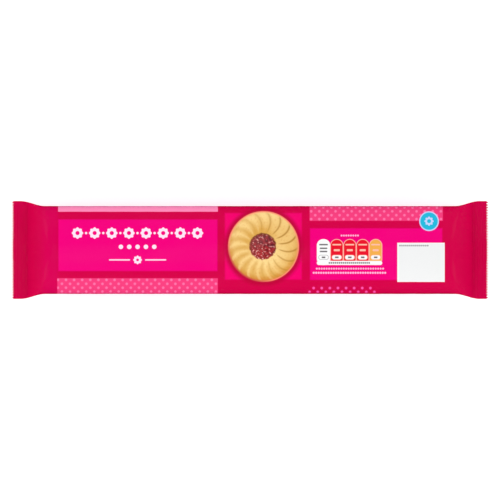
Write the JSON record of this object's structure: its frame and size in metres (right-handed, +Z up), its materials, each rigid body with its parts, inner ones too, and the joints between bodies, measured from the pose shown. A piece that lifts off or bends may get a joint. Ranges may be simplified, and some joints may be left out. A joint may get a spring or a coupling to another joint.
{
  "type": "sealed biscuit roll pack",
  "caption": "Shut flow-wrapped roll of jam cream sandwich biscuits: a round roll in printed film, with a folded seam along the back and a crimped, zigzag-cut seal at each end.",
  "frame": {"origin": "middle of the footprint, on the surface that the pack lies on", "axes": "+X along the roll, towards the end that carries the white panel; +Z up, out of the printed face; +Y towards the top of the print"},
  "size_m": [0.24, 0.0494, 0.0449],
  "materials": {
    "printed_film": "printed plastic film with a satin gloss, crimson with magenta fields"
  },
  "bodies": {
    "root": {"sealed_roll_pack": "printed_film"}
  },
  "joints": []
}
